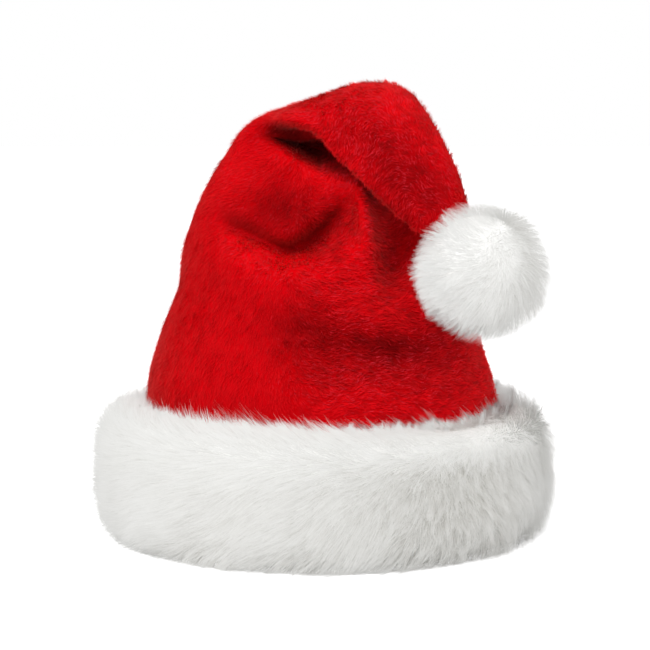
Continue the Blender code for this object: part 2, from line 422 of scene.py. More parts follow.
def pile_material():
    """The pile's colour from root to tip, times the blade's own shade."""
    made, nodes, links, shader = shader_of("plush_pile", 0.8, 0.04)
    own, along = strand_shares(nodes, links)
    down = graded(nodes, links, along, PILE_ALONG)
    across = graded(nodes, links, own, PILE_SHADES)
    links.new(mixed(nodes, links, down, across), shader.inputs["Base Color"])
    set_sheen(shader, PLUSH_SHEEN, PLUSH_SHEEN_TINT)
    return made


def fur_material():
    """White fur. A strand's own shade says how pale its root is: dark at 0, pale at 1. The dark roots are
    painted shade in the gaps between locks, where the strands cast no shadows.
    """
    made, nodes, links, shader = shader_of("white_fur", 0.7, 0.05)
    own, along = strand_shares(nodes, links)
    painted_gap_shade = graded(nodes, links, along, GAP_FUR_PAINTED_SHADE)
    pale = graded(nodes, links, along, PALE_FUR)
    links.new(mixed(nodes, links, painted_gap_shade, pale, own), shader.inputs["Base Color"])
    set_sheen(shader, FUR_SHEEN)
    return made


def plush_material():
    """The cloth under the pile, times each vertex's tone, which carries painted shade in folds and hollows
    and painted light on ridges.
    """
    made, nodes, links, shader = shader_of("red_plush", 0.9, 0.02)
    colour = graded(nodes, links, noise_value(nodes, links, 60.0, 4.0), PLUSH_PATCHES)
    tone = nodes.new("ShaderNodeAttribute")
    tone.attribute_name = "tone"
    links.new(mixed(nodes, links, colour, tone.outputs["Fac"]), shader.inputs["Base Color"])
    bump = nodes.new("ShaderNodeBump")
    bump.inputs["Strength"].default_value = 0.6
    bump.inputs["Distance"].default_value = 0.0006
    links.new(noise_value(nodes, links, 1400.0, 3.0), bump.inputs["Height"])
    links.new(bump.outputs["Normal"], shader.inputs["Normal"])
    return made


def fur_skin_material():
    made, nodes, links, shader = shader_of("fur_skin", 0.9, 0.1)
    colour = graded(nodes, links, noise_value(nodes, links, 300.0, 4.0), SKIN_PATCHES)
    links.new(colour, shader.inputs["Base Color"])
    return made


# Strands

def strand_lines(roots, normals, combs, lengths, steps, rise_first, rise_last, rng, curl):
    """Centrelines, one a row, that leave the skin and lie down along their combing direction."""
    lines = np.empty((len(roots), steps + 1, 3))
    lines[:, 0] = roots
    wander = rng.normal(0, 1, (len(roots), 3))
    turn = rng.normal(0, 1, (len(roots), 3))
    for k in range(steps):
        share = k / max(steps - 1, 1)
        rise = (rise_first * (1 - share) + rise_last * share)[:, None]
        heading = combs * (1 - rise) + normals * rise + curl * (wander + turn * share)
        lines[:, k + 1] = lines[:, k] + unit(heading) * (lengths / steps)[:, None]
    return lines


def gather_locks(lines, pull, spacing, rng):
    """Draws the strands' tips towards their nearest lock's middle strand."""
    roots = lines[:, 0]
    near = kdtree.KDTree(len(roots))
    for i, root in enumerate(roots):
        near.insert(root, i)
    near.balance()
    taken = np.zeros(len(roots), bool)
    chosen = []
    for i in rng.permutation(len(roots)):
        if not taken[i]:
            chosen.append(i)
            for _, j, _ in near.find_range(roots[i], spacing[i]):
                taken[j] = True
    locks = kdtree.KDTree(len(chosen))
    for i in chosen:
        locks.insert(roots[i], i)
    locks.balance()
    middle = np.array([locks.find(root)[1] for root in roots])
    share = np.linspace(0, 1, lines.shape[1])[None, :, None] ** LOCK_POWER
    return lines + (lines[middle] - lines) * share * pull[:, None, None]


def turned_by(combs, normals, swing):
    """Combing directions swung round their normals."""
    return combs * np.cos(swing)[:, None] + np.cross(normals, combs) * np.sin(swing)[:, None]


def ribbon_mesh(name, lines, normals, width, own_shade, bend_normal, lift_normal=0.0):
    """Flat ribbons that taper to a point, with their faces outwards. The UV map gives each ribbon
    its own shade across and runs from root to tip along it. bend_normal is how far the shading
    follows the ribbons' faces and not the skin, and lift_normal how far it turns upwards."""
    count, levels = lines.shape[:2]
    steps = levels - 1
    along = unit(np.gradient(lines, axis=1))
    chord = unit(lines[:, -1] - lines[:, 0])
    sides = unit(np.cross(np.cross(along, np.cross(chord, normals)[:, None, :]), along))
    taper = (1 - (np.arange(steps) / steps) ** TAPER_POWER)[None, :, None]
    half = sides[:, :steps] * taper * (width / 2)[:, None, None]
    edges = np.stack([lines[:, :steps] - half, lines[:, :steps] + half], 2).reshape(count, -1, 3)
    points = np.concatenate([edges, lines[:, steps:]], axis=1)
    per = points.shape[1]
    base = np.arange(count)[:, None] * per
    ladder = [[2 * k, 2 * k + 1, 2 * k + 3, 2 * k + 2] for k in range(steps - 1)]
    quads = (base[:, :, None] + np.array(ladder, int).reshape(1, -1, 4)).reshape(-1, 4)
    tips = (base + np.array([[2 * steps - 2, 2 * steps - 1, 2 * steps]])).reshape(-1, 3)
    corners = np.concatenate([quads.ravel(), tips.ravel()])
    starts = np.concatenate([np.arange(len(quads)) * 4, len(quads) * 4 + np.arange(len(tips)) * 3])
    mesh = bpy.data.meshes.new(name)
    mesh.vertices.add(count * per)
    mesh.vertices.foreach_set("co", points.astype(np.float32).ravel())
    mesh.loops.add(len(corners))
    mesh.loops.foreach_set("vertex_index", corners.astype(np.int32))
    mesh.polygons.add(len(starts))
    mesh.polygons.foreach_set("loop_start", starts.astype(np.int32))
    mesh.update(calc_edges=True)
    rows = np.concatenate([np.repeat(np.arange(steps) / steps, 2), [1.0]])
    lean = np.concatenate([np.tile([-1.0, 1.0], steps), [0.0]])
    u = SHADE_EDGE + (1 - 2 * SHADE_EDGE) * own_shade[:, None] + SHADE_WIDTH * lean[None]
    v = np.broadcast_to(rows[None], u.shape)
    uv = np.stack([np.clip(u, 0.0, 1.0), v], -1).reshape(-1, 2)
    layer = mesh.uv_layers.new(name="OFBake")
    layer.data.foreach_set("uv", uv[corners].astype(np.float32).ravel())
    mesh.shade_smooth()
    faces = unit(np.cross(sides, along))
    level_of = np.concatenate([np.repeat(np.arange(steps), 2), [steps]])
    bend = np.reshape(bend_normal, (-1, 1, 1))
    shading = faces[:, level_of] * bend + normals[:, None, :] * (1 - bend)
    shading = unit(shading + lift_normal * UP)
    mesh.normals_split_custom_set_from_vertices(shading.reshape(-1, 3).astype(np.float32))
    return mesh


def scatter(mesh, count, rng, lowest=-math.inf):
    """Random points on the mesh's faces above a height, with their normals, and the corners of their
    faces with the corners' shares."""
    mesh.calc_loop_triangles()
    corners = np.empty(len(mesh.loop_triangles) * 3, np.int32)
    mesh.loop_triangles.foreach_get("vertices", corners)
    corners = corners.reshape(-1, 3)
    places = vectors_of(mesh.vertices, "co")
    normals = vectors_of(mesh.vertices, "normal")
    corners = corners[places[corners].mean(axis=1)[:, 2] > lowest]
    a, b, c = (places[corners[:, k]] for k in range(3))
    area = np.linalg.norm(np.cross(b - a, c - a), axis=1)
    picked = rng.choice(len(corners), count, p=area / area.sum())
    first, second = rng.random(count), rng.random(count)
    flip = first + second > 1
    first[flip], second[flip] = 1 - first[flip], 1 - second[flip]
    shares = np.stack([1 - first - second, first, second], 1)
    chosen = corners[picked]
    point = (places[chosen] * shares[:, :, None]).sum(axis=1)
    normal = unit((normals[chosen] * shares[:, :, None]).sum(axis=1))
    return point, normal, chosen, shares


# Crown

def crown_skin(node):
    """The crown's outer skin as a mesh of quads: the node's faces, without the hem and inner wall."""
    work = bmesh.new()
    work.from_mesh(node.data)
    bmesh.ops.remove_doubles(work, verts=work.verts, dist=0.00001)
    hem = [f for f in work.faces if f.calc_center_median().z < HEM_TOP and abs(f.normal.z) > 0.9]
    bmesh.ops.delete(work, geom=hem, context="FACES_ONLY")
    unseen = set(work.faces)
    skins = []
    while unseen:
        front = [unseen.pop()]
        skin = set(front)
        while front:
            face = front.pop()
            for edge in face.edges:
                for other in edge.link_faces:
                    if other in unseen:
                        unseen.discard(other)
                        skin.add(other)
                        front.append(other)
        skins.append(skin)
    outer = max(skins, key=lambda skin: sum(f.calc_area() for f in skin))
    bmesh.ops.delete(work, geom=[f for f in work.faces if f not in outer], context="FACES")
    bmesh.ops.join_triangles(
        work, faces=work.faces, angle_face_threshold=math.pi, angle_shape_threshold=math.pi
    )
    mesh = bpy.data.meshes.new("crown_skin")
    work.to_mesh(mesh)
    work.free()
    return mesh


def subdivided(mesh, name, levels):
    holder = new_object("holder", mesh)
    modifier = holder.modifiers.new("finer", "SUBSURF")
    modifier.levels = levels
    modifier.render_levels = levels
    made = bpy.data.meshes.new_from_object(
        holder.evaluated_get(bpy.context.evaluated_depsgraph_get())
    )
    made.name = name
    bpy.data.objects.remove(holder)
    return made


def along_hat(mesh):
    """For each vertex, the direction along the surface away from the hem, over the fold as well."""
    places = vectors_of(mesh.vertices, "co")
    edges = np.array([e.vertices for e in mesh.edges])
    lengths = np.linalg.norm(places[edges[:, 0]] - places[edges[:, 1]], axis=1)
    reach = np.where(places[:, 2] < HEM_TOP, 0.0, 10.0)
    settled = False
    while not settled:
        before = reach.copy()
        np.minimum.at(reach, edges[:, 0], reach[edges[:, 1]] + lengths)
        np.minimum.at(reach, edges[:, 1], reach[edges[:, 0]] + lengths)
        settled = np.allclose(before, reach, atol=1e-7)
    pull = np.zeros_like(places)
    step = places[edges[:, 1]] - places[edges[:, 0]]
    gain = (reach[edges[:, 1]] - reach[edges[:, 0]]) / np.maximum(lengths, 1e-9) ** 2
    np.add.at(pull, edges[:, 0], step * gain[:, None])
    np.add.at(pull, edges[:, 1], step * gain[:, None])
    for _ in range(NAP_SMOOTHING):
        spread = np.zeros_like(pull)
        np.add.at(spread, edges[:, 0], unit(pull[edges[:, 1]]))
        np.add.at(spread, edges[:, 1], unit(pull[edges[:, 0]]))
        pull = unit(pull) + spread
    return unit(pull)


# The first five columns of the tables of patches on the crown, seen from the front. across and height
# are the patch's middle in millimetres, length and width its half sizes and tilt its slope in degrees.
ACROSS, HEIGHT, LENGTH, WIDTH, TILT = range(5)

# Finer creases pressed into the crown's front, on top of the CAD crown's folds. out is how far a crease
# comes forwards and drop how far it sinks, in millimetres.
OUT, DROP = 5, 6
CREASE_TABLE = np.array(
    [
        (-36, 184, 20, 9.0, -26, 4.0, 2.0),
        (-5, 185, 16, 8.0, 40, 5.0, 3.0),
        (-20, 176, 9, 8.0, 0, 4.0, 3.0),
        (-44, 173, 20, 8.0, -26, -3.0, 0.0),
        (-3, 172, 17, 6.5, 40, -5.5, 0.0),
        (-18, 162, 9, 6.0, 0, -2.0, 0.0),
        (-38, 161, 24, 6.0, -24, 5.5, -3.0),
        (-12, 155, 13, 6.0, 20, 5.0, -3.0),
        (22, 184, 26, 4.5, 97, 5.0, -1.0),
        (37, 160, 20, 7.0, 85, -7.0, 0.0),
        (35, 112, 17, 7.0, -10, -5.0, 1.0),
        (-10, 123, 15, 6.0, 12, -3.5, 1.0),
        (24, 97, 28, 6.0, 0, 3.0, 0.0),
        (-10, 210, 26, 5.0, -27, 6.5, -2.5),
    ]
)

# The tail's fold. The lip over the hollow rises and the hollow's floor sinks. Under the tail the crown's
# front comes forwards and the tail's back comes to meet it, so that no gap shows from the side. side is
# 1 for surfaces that face forwards, -1 for those that face back and 0 for both. near and far are the
# depths, in millimetres along Y, between which a row acts, and painted shade is the share by which its
# patch is painted darker, as shade in the hollow under the lip and behind it.
SIDE, NEAR, FAR, TUCK_PAINTED_SHADE = 7, 8, 9, 10
TUCK_TABLE = np.array(
    [
        (-10, 223, 15, 8, -20, 0.0, -6.5, 0, -60, -8, 0.0),
        (-22, 226, 12, 5.5, -20, -10.0, 0.0, 1, -60, 40, -0.35),
        (-10, 220, 20, 7, -28, -6.0, 0.0, 1, -14, 40, -0.30),
        (-16, 225, 14, 5.5, -15, -2.0, 0.0, 0, -27, 6, -0.60),
        (20, 214, 14, 16, 0, 15.0, 0.0, 1, -34, 40, 0.0),
        (34, 206, 20, 22, 0, -10.0, 0.0, -1, -60, -2, 0.0),
    ]
)

# The sag of the top edge, which goes right over from front to back. Its last value is the drop.
TOP_DROP = 5
TOP_DENT = np.array([(-6, 248, 20, 14, 12, 2.2)])

# Patches of the pile's tone. A few are pile brushed another way, and most are painted shade on surfaces in
# folds, dents and on the right, away from the light, and painted light on ridges, bulges and ledges that
# face up. tone is the share by which a patch is painted lighter or darker, and glints the share of its pile
# that is painted highlights.
NAP_AND_PAINTED_LIGHT_TONE, NAP_GLINTS = 5, 6
NAP_AND_PAINTED_LIGHT_TABLE = np.array(
    [
        (-4, 236, 24, 4, -27, 0.05, 0.30),
        (-22, 187, 24, 13, -5, -0.47, 0.0),
        (-46, 178, 13, 6, -20, -0.16, 0.0),
        (-4, 178, 13, 7, 40, -0.22, 0.0),
        (30, 222, 45, 16, -38, -0.26, 0.16),
        (52, 195, 30, 16, -50, -0.34, 0.08),
        (38, 161, 22, 9, 85, -0.34, 0.0),
        (-3, 122, 28, 18, -8, -0.50, 0.0),
        (36, 113, 22, 11, -5, -0.46, 0.0),
        (60, 112, 26, 24, -60, -0.32, 0.0),
        (24, 97, 30, 8, 0, -0.12, 0.24),
        (2, 99, 20, 9, 0, -0.10, 0.0),
        (-43, 162, 15, 7, -25, 0.40, 0.50),
        (-19, 155, 15, 6, -4, 0.40, 0.55),
        (23, 186, 22, 4, 97, 0.20, 0.40),
        (16, 163, 9, 5, 60, 0.15, 0.35),
        (-8, 208, 26, 6, -27, 0.40, 0.30),
        (-50, 205, 16, 20, 40, 0.06, 0.14),
        (18, 243, 34, 8, 5, 0.10, 0.34),
        (-30, 238, 20, 7, 25, 0.05, 0.25),
    ]
)


def patch_fade(table, places):
    """How strongly each row's patch covers each place, seen from the front: one column a row."""
    tilt = np.radians(table[:, TILT])
    across = places[:, :1] * MM_PER_M - table[:, ACROSS]
    up = places[:, 2:] * MM_PER_M - table[:, HEIGHT]
    along = (across * np.cos(tilt) + up * np.sin(tilt)) / table[:, LENGTH]
    aside = (up * np.cos(tilt) - across * np.sin(tilt)) / table[:, WIDTH]
    return np.exp(-along ** 2 - aside ** 2)


def open_sky(mesh, rays, reach):
    """How open the surface is at each vertex, from 0 deep in a fold to 1 in the open."""
    tree = bvhtree.BVHTree.FromPolygons(
        [v.co for v in mesh.vertices], [p.vertices for p in mesh.polygons]
    )
    turns = np.arange(rays) * GOLDEN_TURN
    heights = 1 - (np.arange(rays) + 0.5) / rays
    rings = np.sqrt(1 - heights ** 2)
    dome = np.stack([rings * np.cos(turns), rings * np.sin(turns), heights], 1)
    found = np.empty(len(mesh.vertices))
    for vertex in mesh.vertices:
        turn = vertex.normal.to_track_quat("Z", "Y").to_matrix()
        start = vertex.co + vertex.normal * SKY_START
        total = 0.0
        for x, y, z in dome:
            _, _, _, distance = tree.ray_cast(start, turn @ Vector((x, y, z)), reach)
            total += z if distance is None else z * (distance / reach) ** 2
        found[vertex.index] = total
    return found / dome[:, 2].sum()


def shape_crown(mesh):
    """Presses creases, tucks and waves into the crown. Returns each vertex's tone, with painted shade in
    folds and hollows and painted light on ridges, and the share of the pile there that is glints, which are
    painted highlights."""
    places = vectors_of(mesh.vertices, "co")
    normals = vectors_of(mesh.vertices, "normal")
    forwards = -FACING_GAIN * normals[:, 1:2]
    depth = places[:, 1:2] * MM_PER_M
    side = TUCK_TABLE[:, SIDE]
    tucks = patch_fade(TUCK_TABLE, places) * np.where(side == 0, 1, np.clip(forwards * side, 0, 1))
    tucks *= rising(depth, TUCK_TABLE[:, NEAR], TUCK_EDGE) * rising(depth, TUCK_TABLE[:, FAR], -TUCK_EDGE)
    above_cuff = places[:, 2:] > CUFF_COVERS_BELOW
    facing = np.clip(forwards, 0, 1) * above_cuff
    creases = patch_fade(CREASE_TABLE, places) * facing
    nap_and_painted_light = patch_fade(NAP_AND_PAINTED_LIGHT_TABLE, places) * facing
    # Painted shade and light from the patches and from the hollow under the tail's lip.
    tones_with_painted_shade = 1 + nap_and_painted_light @ NAP_AND_PAINTED_LIGHT_TABLE[:, NAP_AND_PAINTED_LIGHT_TONE] + tucks @ TUCK_TABLE[:, TUCK_PAINTED_SHADE]
    top = patch_fade(TOP_DENT, places) * above_cuff
    places[:, 2] -= top[:, 0] * TOP_DENT[0, TOP_DROP] / MM_PER_M
    for table, share in ((CREASE_TABLE, creases), (TUCK_TABLE, tucks)):
        places[:, 1] -= share @ table[:, OUT] / MM_PER_M
        places[:, 2] -= share @ table[:, DROP] / MM_PER_M
    lift = layered_noise(places, CROWN_WAVES) * rising(places[:, 2], CUFF_COVERS_BELOW, WAVES_FADE)
    places += normals * lift[:, None]
    mesh.vertices.foreach_set("co", places.ravel())
    mesh.update()
    mesh.shade_smooth()
    sky = open_sky(mesh, SKY_RAYS, SKY_REACH)
    # Painted shade: the tone darkens where little sky is open, deep in folds.
    tones_with_painted_shade = np.clip(PLUSH_TONE * tones_with_painted_shade * between(SKY_PAINTED_SHADE, sky), 0, 1)
    mesh.attributes.new("tone", "FLOAT", "POINT").data.foreach_set("value", tones_with_painted_shade)
    return tones_with_painted_shade, nap_and_painted_light @ NAP_AND_PAINTED_LIGHT_TABLE[:, NAP_GLINTS]


def make_pile(number, mesh, up_hat, tones_with_painted_shade, patch_glints, finish):
    rng = np.random.default_rng(CROWN_SEED + number)
    roots, normals, corners, shares = scatter(mesh, PILE_BLADES, rng, CUFF_COVERS_BELOW)
    count = len(roots)
    nap = -unit((up_hat[corners] * shares[:, :, None]).sum(axis=1))
    nap = unit(nap - normals * (nap * normals).sum(axis=1, keepdims=True))
    fleece = rising(roots[:, 0], SMOOTH_SIDE, FLEECE_FADE)
    glints = (patch_glints[corners] * shares).sum(axis=1)
    rough = np.clip(fleece + 2 * glints, 0, 1)
    swing = np.radians(NAP_TURN) * fleece + NAP_WANDER * soft_noise(roots, 0.012, 11)
    swing += between(TUFT_SWING, rough) * soft_noise(roots, 0.0045, 12)
    rise = PILE_RISE + PILE_RISE_PATCHES * soft_noise(roots, 0.005, 13)
    rise = np.clip(rise + PILE_RISE_SCATTER * rough * rng.normal(0, 1, count), *PILE_RISE_RANGE)

    flat = roots * np.array([1.0, 1.0, 2.0])
    mottle = soft_noise(flat, 0.0042, 14)
    # Each blade takes the cloth's tone, with its painted shade and light, and adds its own fleece mottle and
    # scatter.
    tone = (tones_with_painted_shade[corners] * shares).sum(axis=1)
    tone *= 1 + MOTTLE * fleece * mottle + rng.normal(0, between(TONE_SCATTER, rough), count)
    # Painted highlights: more blades are glints where the surface faces up towards the light, and in the
    # patches' glints.
    lit = np.clip(0.4 + normals[:, 2], 0, 1) * (soft_noise(flat, 0.0035, 15) > 0.1)
    glint = rng.random(count) < GLINT_SHARE * lit * fleece + glints * (mottle > -0.3)
    shade = np.where(glint, rng.uniform(*GLINT_SHADES, count), np.clip(tone, 0, PLAIN_SHADE_TOP))

    lengths = PILE_LENGTH * rng.uniform(*PILE_LENGTHS, count) * np.where(glint, GLINT_LENGTH, 1.0)
    combs = turned_by(nap, normals, swing)
    lines = strand_lines(roots, normals, combs, lengths, 1, rise, rise, rng, PILE_CURL)
    lines = gather_locks(lines, between(TUFT_PULL, rough), np.full(count, TUFT_SPACING), rng)
    width = PILE_WIDTH * np.where(glint, GLINT_WIDTH, between(PILE_WIDTHS, rough))
    name = f"crown_pile_{number}"
    ribbons = ribbon_mesh(name, lines, normals, width, shade, between(PILE_BEND, rough))
    add_piece(name, ribbons, finish)


def make_crown(node, plush, pile):
    mesh = subdivided(crown_skin(node), "crown_cloth", SKIN_LEVELS)
    tones_with_painted_shade, patch_glints = shape_crown(mesh)
    cloth = add_piece("crown_cloth", mesh, plush, "crown")
    wall = cloth.modifiers.new("wall", "SOLIDIFY")
    wall.thickness = PLUSH_THICKNESS
    wall.offset = -1
    up_hat = along_hat(mesh)
    for number in range(PILE_PIECES):
        make_pile(number, mesh, up_hat, tones_with_painted_shade, patch_glints, pile)


# Cuff

# The skin's section from the foot of the inner wall, over the crest, down the outer side and back
# under to the inner wall.
SKIN_PROFILE = np.array(
    [
        (0.0999, 0.0030),
        (0.0999, 0.0400),
        (0.0999, 0.0620),
        (0.1022, 0.0672),
        (0.1070, 0.0698),
        (0.1130, 0.0698),
        (0.1185, 0.0665),
        (0.1222, 0.0600),
        (0.1240, 0.0500),
        (0.1248, 0.0380),
        (0.1250, 0.0250),
        (0.1238, 0.0130),
        (0.1195, 0.0050),
        (0.1120, 0.0022),
        (0.1030, 0.0018),
    ]
)

# How the cuff's fur is combed, at places round the hat. azimuth is 0 in front and 90 on the right,
# height is in millimetres. comb is the way the tips point, seen from outside: 0 right, 90 up, 180 left,
# 270 down. tousle is from 0 for smooth fur to 1 for deep locks, and length is in millimetres.
COMB_TABLE = np.array(
    [
        (-90, 40, 186, 0.15, 21),
        (-67, 60, 182, 0.05, 21),
        (-67, 20, 192, 0.10, 21),
        (-40, 60, 182, 0.05, 22),
        (-40, 30, 194, 0.10, 22),
        (-30, 7, 215, 0.60, 15),
        (-18, 60, 186, 0.05, 22),
        (-18, 36, 208, 0.38, 20),
        (-10, 22, 197, 0.25, 19),
        (-5, 7, 218, 0.65, 15),
        (0, 62, 188, 0.10, 21),
        (8, 70, 178, 0.15, 20),
        (25, 70, 176, 0.25, 18),
        (38, 70, 168, 0.35, 17),
        (50, 70, 192, 0.30, 17),
        (65, 70, 196, 0.25, 17),
        (50, 60, 250, 0.40, 16),
        (64, 60, 255, 0.30, 17),
        (3, 40, 213, 0.45, 19),
        (10, 20, 222, 0.40, 18),
        (14, 60, 198, 0.30, 19),
        (19, 44, 218, 0.70, 17),
        (24, 22, 230, 0.70, 17),
        (26, 58, 210, 0.60, 17),
        (36, 62, 200, 0.50, 17),
        (28, 48, 238, 0.95, 16),
        (31, 34, 256, 1.00, 16),
        (35, 50, 282, 1.00, 15),
        (37, 38, 284, 1.00, 16),
        (40, 12, 232, 0.70, 15),
        (47, 50, 304, 0.90, 16),
        (48, 30, 288, 0.70, 16),
        (60, 42, 300, 0.35, 19),
        (62, 10, 232, 0.60, 15),
        (80, 40, 300, 0.25, 20),
        (120, 40, 285, 0.40, 20),
        (150, 40, 250, 0.40, 20),
        (180, 40, 218, 0.40, 20),
        (-150, 40, 202, 0.35, 20),
        (-120, 40, 192, 0.25, 20),
    ]
)
# Millimetres along the skin for one degree round it.
COMB_DEGREE = 2.1
# How far, in millimetres, the rows blur into each other.
COMB_BLUR = 5


def comb_at(degrees, height):
    """The combing angle in radians, the tousle and the length at places on the cuff."""
    azimuths, heights, combs, tousles, lengths = COMB_TABLE.T
    turn = (degrees[:, None] - azimuths + 180) % 360 - 180
    gap = (turn * COMB_DEGREE) ** 2 + (height[:, None] * MM_PER_M - heights) ** 2
    shares = 1 / (gap + COMB_BLUR ** 2) ** 1.5
    shares /= shares.sum(axis=1, keepdims=True)
    angles = np.radians(combs)
    angle = np.arctan2(shares @ np.sin(angles), shares @ np.cos(angles))
    return angle, shares @ tousles, shares @ lengths / MM_PER_M


def add_lumps(places, outward, radii):
    """Moves places on the cuff's skin out or in, in soft lumps."""
    swell = layered_noise(places, CUFF_LUMPS) * rising(radii, LUMPS_START, LUMPS_FADE)
    return places + outward * swell[:, None]


def cuff_skin(name):
    angles = np.linspace(0, 2 * math.pi, CUFF_SIDES, endpoint=False)
    around = np.stack([np.sin(angles), -np.cos(angles), np.zeros(CUFF_SIDES)], 1)
    places = np.concatenate([around * radius + UP * height for radius, height in SKIN_PROFILE])
    outward = unit(places * np.array([1.0, 1.0, 0.0]))
    places = add_lumps(places, outward, np.linalg.norm(places[:, :2], axis=1))
    count = len(SKIN_PROFILE)
    faces = []
    for i in range(count):
        for j in range(CUFF_SIDES):
            k = (j + 1) % CUFF_SIDES
            a, b = i * CUFF_SIDES, (i + 1) % count * CUFF_SIDES
            faces.append((a + j, b + j, b + k, a + k))
    mesh = bpy.data.meshes.new(name)
    mesh.from_pydata([tuple(p) for p in places], [], faces)
    mesh.update()
    mesh.shade_smooth()
    return mesh


# Roots on the cuff's skin. right and down are the directions round and along the skin, and crest is 1
# on the crest's inner side and 0 outside the crest.
CuffRoots = namedtuple("CuffRoots", "places normals degrees radii heights right down crest")


def cuff_roots(count, rng, first=0.0, last=None):
    """Random roots on the cuff's skin, between two places along its section."""
    steps = np.linalg.norm(np.diff(SKIN_PROFILE, axis=0), axis=1)
    steps[:2] *= INNER_WALL_SHARE
    steps[2] *= EDGE_SHARE
    steps[-2:] *= EDGE_SHARE
    reach = np.concatenate([[0], np.cumsum(steps)])
    pick = rng.uniform(first, last or reach[-1], count)
    segment = np.clip(np.searchsorted(reach, pick) - 1, 0, len(steps) - 1)
    share = ((pick - reach[segment]) / steps[segment])[:, None]
    section = SKIN_PROFILE[segment] * (1 - share) + SKIN_PROFILE[segment + 1] * share
    slopes = unit(np.gradient(SKIN_PROFILE, axis=0))
    slope = unit(slopes[segment] * (1 - share) + slopes[segment + 1] * share)
    azimuth = rng.uniform(-math.pi, math.pi, count)
    outward = np.stack([np.sin(azimuth), -np.cos(azimuth), np.zeros(count)], 1)
    right = np.stack([np.cos(azimuth), np.sin(azimuth), np.zeros(count)], 1)
    down = outward * slope[:, :1] + UP * slope[:, 1:]
    radii, heights = section.T
    places = add_lumps(outward * section[:, :1] + UP * section[:, 1:], outward, radii)
    crest = smooth_step(1 - rising(pick, CREST_STARTS, CREST_ENDS - CREST_STARTS))
    return CuffRoots(places, np.cross(down, right), np.degrees(azimuth), radii, heights, right, down, crest)


def pointing(spots, angle):
    """Directions along the cuff's skin, at an angle from the right towards the top."""
    return spots.right * np.cos(angle)[:, None] - spots.down * np.sin(angle)[:, None]


def rear_turn(degrees):
    """Which way round the hat the crest's inner hairs lean: 1 is left, and -1, on the right's rear,
    is right."""
    return 1 - 2 * bell(degrees, *REAR_LEAN, 4)


def make_cuff_fur(number, fur):
    rng = np.random.default_rng(CUFF_SEED + number)
    spots = cuff_roots(CUFF_STRANDS, rng)
    roots, degrees, crest = spots.places, spots.degrees, spots.crest
    count = len(roots)
    inner = rising(spots.radii, INNER_START, -INNER_FADE) * (spots.heights > INNER_FOOT)
    parting = 4 * crest * (1 - crest)

    angle, tousle, length = comb_at(degrees, spots.heights)
    wander = COMB_WANDER * soft_noise(roots, 0.020, 21) + LOCK_WANDER * tousle * soft_noise(roots, 0.009, 22)
    combs = pointing(spots, angle + np.radians(wander))
    lean = CREST_COMB + CREST_WANDER * soft_noise(roots, 0.012, 27)
    for turn, middle, spread in CREST_LEANS:
        lean += turn * bell(degrees, middle, spread)
    over = pointing(spots, np.radians(lean))
    combs = unit(combs * (1 - crest)[:, None] + over * crest[:, None])
    back = INNER_UP - spots.right * rear_turn(degrees)[:, None]
    combs = unit(combs * (1 - inner)[:, None] + back * inner[:, None])
    tousle = tousle * (1 - crest) + CREST_TOUSLE * crest

    loose = rng.random(count) < LOOSE_SHARE * (1 - inner)
    stand = bell(degrees, *REAR_STAND) * rising(spots.heights, STAND_START, STAND_FADE)
    rise_first = between(ROOT_RISE, tousle * (1 - crest)) + PARTING_RISE * parting
    rise_first += RISE_WANDER * soft_noise(roots, 0.012, 23) + STAND_ROOT * stand
    rise_last = between(TIP_RISE, tousle) + RISE_WANDER * soft_noise(roots, 0.010, 24)
    rise_last += LOOSE_RISE * loose + REAR_TIP * bell(degrees, *REAR_RISE) + STAND_TIP * stand

    longer = INNER_LENGTH_WANDER * soft_noise(roots, 0.006, 28) + INNER_LENGTH
    longer += LONG_LENGTH * (rng.random(count) < LONG_SHARE)
    lengths = length * rng.uniform(*CUFF_LENGTHS, count) * (1 + inner * longer)
    lines = strand_lines(
        roots, spots.normals, combs, lengths, CUFF_STEPS, rise_first, rise_last, rng, CUFF_CURL
    )
    pull = np.where(loose, LOOSE_PULL, between(CUFF_PULL, tousle))
    spacing = between(CUFF_SPACING, tousle * (1 - crest)) - INNER_CLOSER * inner
    lines = gather_locks(lines, pull, spacing, rng)
    lowest = FLOOR_CLEARANCE + rng.uniform(0, FLOOR_SCATTER, (count, 1))
    lines[:, :, 2] = np.maximum(lines[:, :, 2], lowest)

    # Painted shade: strands deep in tousled locks get darker roots, in place of the shadows that the fur
    # doesn't cast.
    depth = tousle * (1 - CREST_FILL * crest) * (1 - parting)
    shade = np.clip(1 - depth + rng.normal(0, between(CUFF_SHADE_SCATTER, tousle)), 0, 1)
    width = FUR_WIDTH * rng.uniform(*FUR_WIDTHS, count)
    name = f"cuff_fur_{number}"
    ribbons = ribbon_mesh(name, lines, spots.normals, width, shade, between(CUFF_BEND, depth), FUR_GLOW)
    soften(add_piece(name, ribbons, fur), number == 0)


